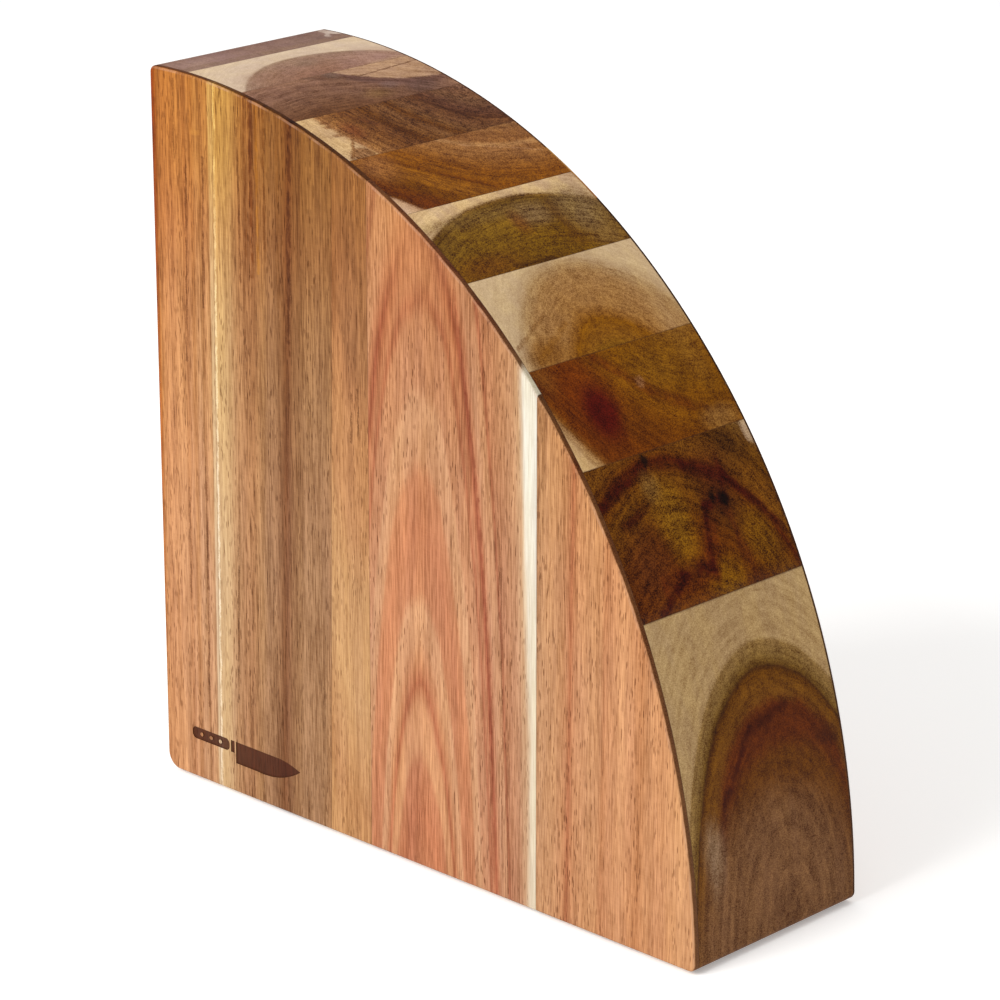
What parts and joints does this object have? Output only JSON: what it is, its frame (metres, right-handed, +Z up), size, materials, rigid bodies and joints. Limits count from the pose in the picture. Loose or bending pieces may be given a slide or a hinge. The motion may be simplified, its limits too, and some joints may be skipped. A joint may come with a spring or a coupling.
{
  "type": "magnetic knife block",
  "caption": "Quarter-round upright magnetic knife block in edge-glued acacia, with end grain on its curved rim and flat faces on both sides for knives.",
  "frame": {"origin": "under the middle of the block's bounding box, on the surface that the feet stand on", "axes": "+Z up, +X along the large faces from the square corner towards the toe of the curve, +Y through the thickness from the marked front face towards the back face"},
  "size_m": [0.2599, 0.0834, 0.2662],
  "materials": {
    "acacia_core": "satin",
    "acacia_skin": "satin",
    "nickel_plated_magnet": "satin",
    "steel_strip": "satin",
    "rubber": "matte"
  },
  "bodies": {
    "root": {"back_keeper_high": "steel_strip", "back_keeper_low": "steel_strip", "back_keeper_middle": "steel_strip", "back_magnet_high_1": "nickel_plated_magnet", "back_magnet_high_2": "nickel_plated_magnet", "back_magnet_high_3": "nickel_plated_magnet", "back_magnet_low_1": "nickel_plated_magnet", "back_magnet_low_2": "nickel_plated_magnet", "back_magnet_low_3": "nickel_plated_magnet", "back_magnet_low_4": "nickel_plated_magnet", "back_magnet_low_5": "nickel_plated_magnet", "back_magnet_middle_1": "nickel_plated_magnet", "back_magnet_middle_2": "nickel_plated_magnet", "back_magnet_middle_3": "nickel_plated_magnet", "back_magnet_middle_4": "nickel_plated_magnet", "back_skin_stave_1": "acacia_skin", "back_skin_stave_2": "acacia_skin", "back_skin_stave_3": "acacia_skin", "back_skin_stave_4": "acacia_skin", "back_skin_stave_5": "acacia_skin", "core_stave_01": "acacia_core", "core_stave_02": "acacia_core", "core_stave_03": "acacia_core", "core_stave_04": "acacia_core", "core_stave_05": "acacia_core", "core_stave_06": "acacia_core", "core_stave_07": "acacia_core", "core_stave_08": "acacia_core", "core_stave_09": "acacia_core", "core_stave_10": "acacia_core", "foot_1": "rubber", "foot_2": "rubber", "foot_3": "rubber", "foot_4": "rubber", "front_keeper_high": "steel_strip", "front_keeper_low": "steel_strip", "front_keeper_middle": "steel_strip", "front_magnet_high_1": "nickel_plated_magnet", "front_magnet_high_2": "nickel_plated_magnet", "front_magnet_high_3": "nickel_plated_magnet", "front_magnet_low_1": "nickel_plated_magnet", "front_magnet_low_2": "nickel_plated_magnet", "front_magnet_low_3": "nickel_plated_magnet", "front_magnet_low_4": "nickel_plated_magnet", "front_magnet_low_5": "nickel_plated_magnet", "front_magnet_middle_1": "nickel_plated_magnet", "front_magnet_middle_2": "nickel_plated_magnet", "front_magnet_middle_3": "nickel_plated_magnet", "front_magnet_middle_4": "nickel_plated_magnet", "front_skin_stave_1": "acacia_skin", "front_skin_stave_2": "acacia_skin", "front_skin_stave_3": "acacia_skin", "front_skin_stave_4": "acacia_skin", "front_skin_stave_5": "acacia_skin"}
  },
  "joints": []
}
